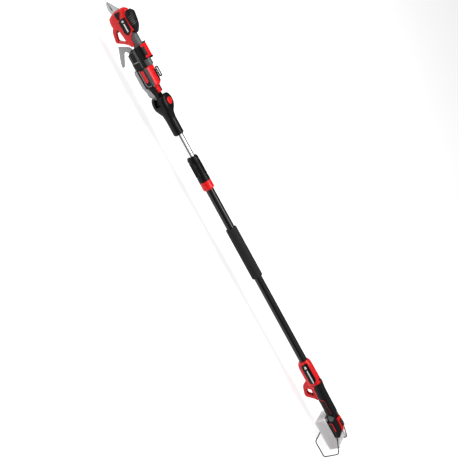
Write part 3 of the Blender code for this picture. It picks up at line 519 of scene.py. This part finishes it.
def make_rear_details():
    grip, base = ["grip_shell_left"], ["base_shell_left"]
    flank = [(-668.5, -21.4), (-668.5, 1.5), (-674, -1), (-680, -5.5), (-686, -7.5), (-708, -8.5),
             (-722, -12.5), (-729, -17.4), (-726, -19.6), (-716, -20.2), (-698, -20.4), (-690, -21.3)]
    skin("grip_flank", "red_plastic", grip, flank, "left", 0.5, 1.0, 1.6)
    accent = [(-722, -14.5), (-728, -9), (-733.5, -1), (-737.5, 5.4)]
    bead("grip_accent", "red_plastic", grip, accent, 2.6, "left", 0.45)
    bead("grip_line", "red_plastic", grip, [(-737.5, 5.4), (-741, 6.6), (-798, 7.4)], 0.6, "left", 0.3)
    bevel = soften([(-802, -6), (-804.5, 4), (-814, 11), (-822, 5), (-816, -9), (-806, -10)], 3)
    skin("base_bevel", "dark_grey_plastic", base, bevel, "left", 0.35)
    stripe = [(-824.5, -9.5), (-826, -3.4), (-830, -0.6), (-864, -1.4)]
    bead("base_stripe", "red_plastic", base, stripe, 2.0, "left", 0.5)
    frame_line = [(-836, 9.8), (-831.5, 15.2), (-866, 15.2), (-861, 9.8)]
    skin("panel_frame", "black_plastic", ["base_cap"], frame_line, "slant", 0.7)
    screws = (("rear_shell_right", -650, -18), ("rear_shell_right", -590, -16),
              ("rear_shell_right", -652, 12), ("grip_shell_right", -700, -4), ("grip_shell_right", -780, -2),
              ("base_shell_right", -830, -6), ("base_shell_right", -868, -6))
    for i, (node, x, z) in enumerate(screws):
        screw(f"rear_screw_{i}", node, x, z)
    for i in range(9):
        x = -786 + i * 9
        line = [(x, -13), (x + 2, -13), (x + 6, 12), (x + 4, 12)]
        skin(f"grip_rib_{i}", "soft_black", ["grip_shell_right"], line, "right", 0.45)


def make_battery_details():
    """A raised band along each side of the battery."""
    inner, outer = 39.5, 40.1
    for side, low, high in (("left", inner, outer), ("right", -outer, -inner)):
        bar(f"battery_band_{side}", "battery", "battery_plastic", (-926, low, -46), (-814, high, -40), 0.2)


def refine_all():
    """Every node keeps its own shape, apart from those that are drawn anew here."""
    drawn_anew = ("foam_grip", "lock_nut", "lock_collar", "rear_badge")
    for node in sorted(NODES):
        if node not in drawn_anew:
            refine(node)
    looks = (("battery_button_shape", "battery_plastic"), ("charge_lens_shape", "dark_grey_plastic"))
    for name, look in looks:
        bpy.data.objects[name].data.materials[0] = MATERIALS[look]


refine_all()
make_pole()
make_pruner_details()
make_clamp_details()
make_latch_details()
make_clamp_screws()
make_foot_details()
make_tongue_nose()
make_rear_badge()
make_rear_details()
make_battery_details()


# ---------------------------------------------------------------- camera, light and floor

def make_camera():
    """Seen from the tool's left, above and ahead of it, with the pole running down to the right."""
    turn, tilt = math.radians(15.0), SLANT
    ahead = Vector((-math.sin(turn), -math.cos(turn) * math.cos(tilt), -math.cos(turn) * math.sin(tilt)))
    across = Vector((0.0, -math.sin(tilt), math.cos(tilt)))
    along = Vector((-math.cos(turn), math.sin(turn) * math.cos(tilt), math.sin(turn) * math.sin(tilt)))
    roll = math.radians(28.77)
    right = across * math.cos(roll) + along * math.sin(roll)
    down = along * math.cos(roll) - across * math.sin(roll)
    data = bpy.data.cameras.new("camera")
    data.sensor_width = 36.0
    data.lens = 84.26
    camera = bpy.data.objects.new("camera", data)
    bpy.context.scene.collection.objects.link(camera)
    basis = Matrix((right, -down, -ahead)).transposed().to_4x4()
    stand = place(967.9, 3009.3, 1998.6)
    camera.matrix_world = Matrix.Translation(stand) @ basis
    bpy.context.scene.camera = camera


def area_light(name, location, target, size, power):
    data = bpy.data.lights.new(name, "AREA")
    data.shape = "RECTANGLE"
    data.size, data.size_y = size
    data.energy = power
    light = bpy.data.objects.new(name, data)
    bpy.context.scene.collection.objects.link(light)
    light.location = location
    direction = Vector(target) - Vector(location)
    light.rotation_euler = direction.to_track_quat("-Z", "Y").to_euler()


def make_studio():
    scene = bpy.context.scene
    scene.view_settings.view_transform = "Standard"
    world = bpy.data.worlds.new("studio")
    world.use_nodes = True
    world.node_tree.nodes["Background"].inputs[0].default_value = (1.0, 1.0, 1.0, 1.0)
    world.node_tree.nodes["Background"].inputs[1].default_value = 0.1
    scene.world = world
    area_light("overhead", (0.0, 0.6, 2.6), (0.0, 0.6, 0.0), (9.0, 6.0), 100)
    area_light("key", (1.2, 0.0, 2.4), (1.2, 0.0, 0.0), (4.0, 0.6), 80)
    bm = bmesh.new()
    bmesh.ops.create_grid(bm, x_segments=1, y_segments=1, size=40.0)
    mesh = mesh_from("floor", bm, smooth=False)
    floor = bpy.data.objects.new("floor", mesh)
    bpy.context.scene.collection.objects.link(floor)
    paint = Shader("floor_paint", (0.5, 0.5, 0.5), 0.9, Specular_IOR_Level=0.1)
    paint.tint(paint.noise(400), 0.99, 1.01)
    paint.main.inputs["Emission Color"].default_value = (1.0, 1.0, 1.0, 1.0)
    paint.main.inputs["Emission Strength"].default_value = 0.72
    mesh.materials.append(paint.mat)


make_camera()
make_studio()
